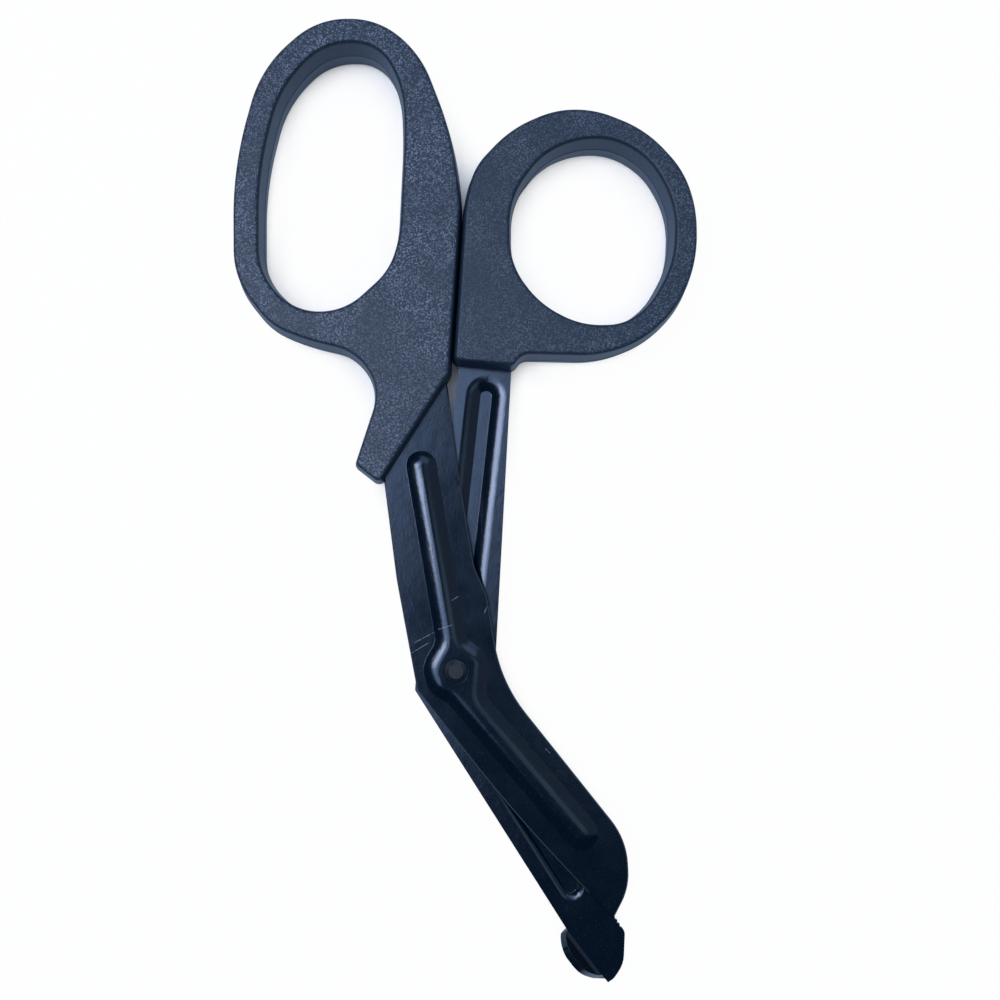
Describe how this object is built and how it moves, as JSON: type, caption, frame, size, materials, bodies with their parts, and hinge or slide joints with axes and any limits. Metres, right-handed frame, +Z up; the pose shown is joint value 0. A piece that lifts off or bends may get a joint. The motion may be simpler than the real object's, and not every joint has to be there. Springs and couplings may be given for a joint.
{
  "type": "bandage scissors",
  "caption": "Trauma shears with a long finger loop, a round thumb loop, angled pressed blades with ribs, a blunt foot and a serrated cutting edge.",
  "frame": {"origin": "bottom centre of the closed scissors' box, on the surface that the handles rest on", "axes": "+Y along the scissors from the blunt tip to the handles, +Z up from the surface towards the side with the rivet's head, +X towards the thumb loop"},
  "size_m": [0.0904, 0.1884, 0.01],
  "materials": {
    "finger_handle": "moulded slate-black polypropylene with a fine spark-eroded grain",
    "thumb_handle": "moulded slate-black polypropylene with a fine spark-eroded grain",
    "upper_blade": "pressed stainless sheet with a satin black non-stick coating",
    "lower_blade": "pressed stainless sheet with a satin black non-stick coating",
    "pivot_rivet": "steel rivet in the same satin black coating, rubbed a little lighter"
  },
  "bodies": {
    "lower_half": {"lower_blade": "lower_blade", "thumb_handle": "thumb_handle", "pivot_rivet": "pivot_rivet"},
    "upper_half": {"upper_blade": "upper_blade", "finger_handle": "finger_handle"}
  },
  "joints": [
    {"name": "blade_pivot", "type": "hinge", "parent": "lower_half", "child": "upper_half", "pos_m": [-0.00177, -0.03245, 0.005], "axis": [0, 0, 1], "range_deg": [0, 50]}
  ]
}
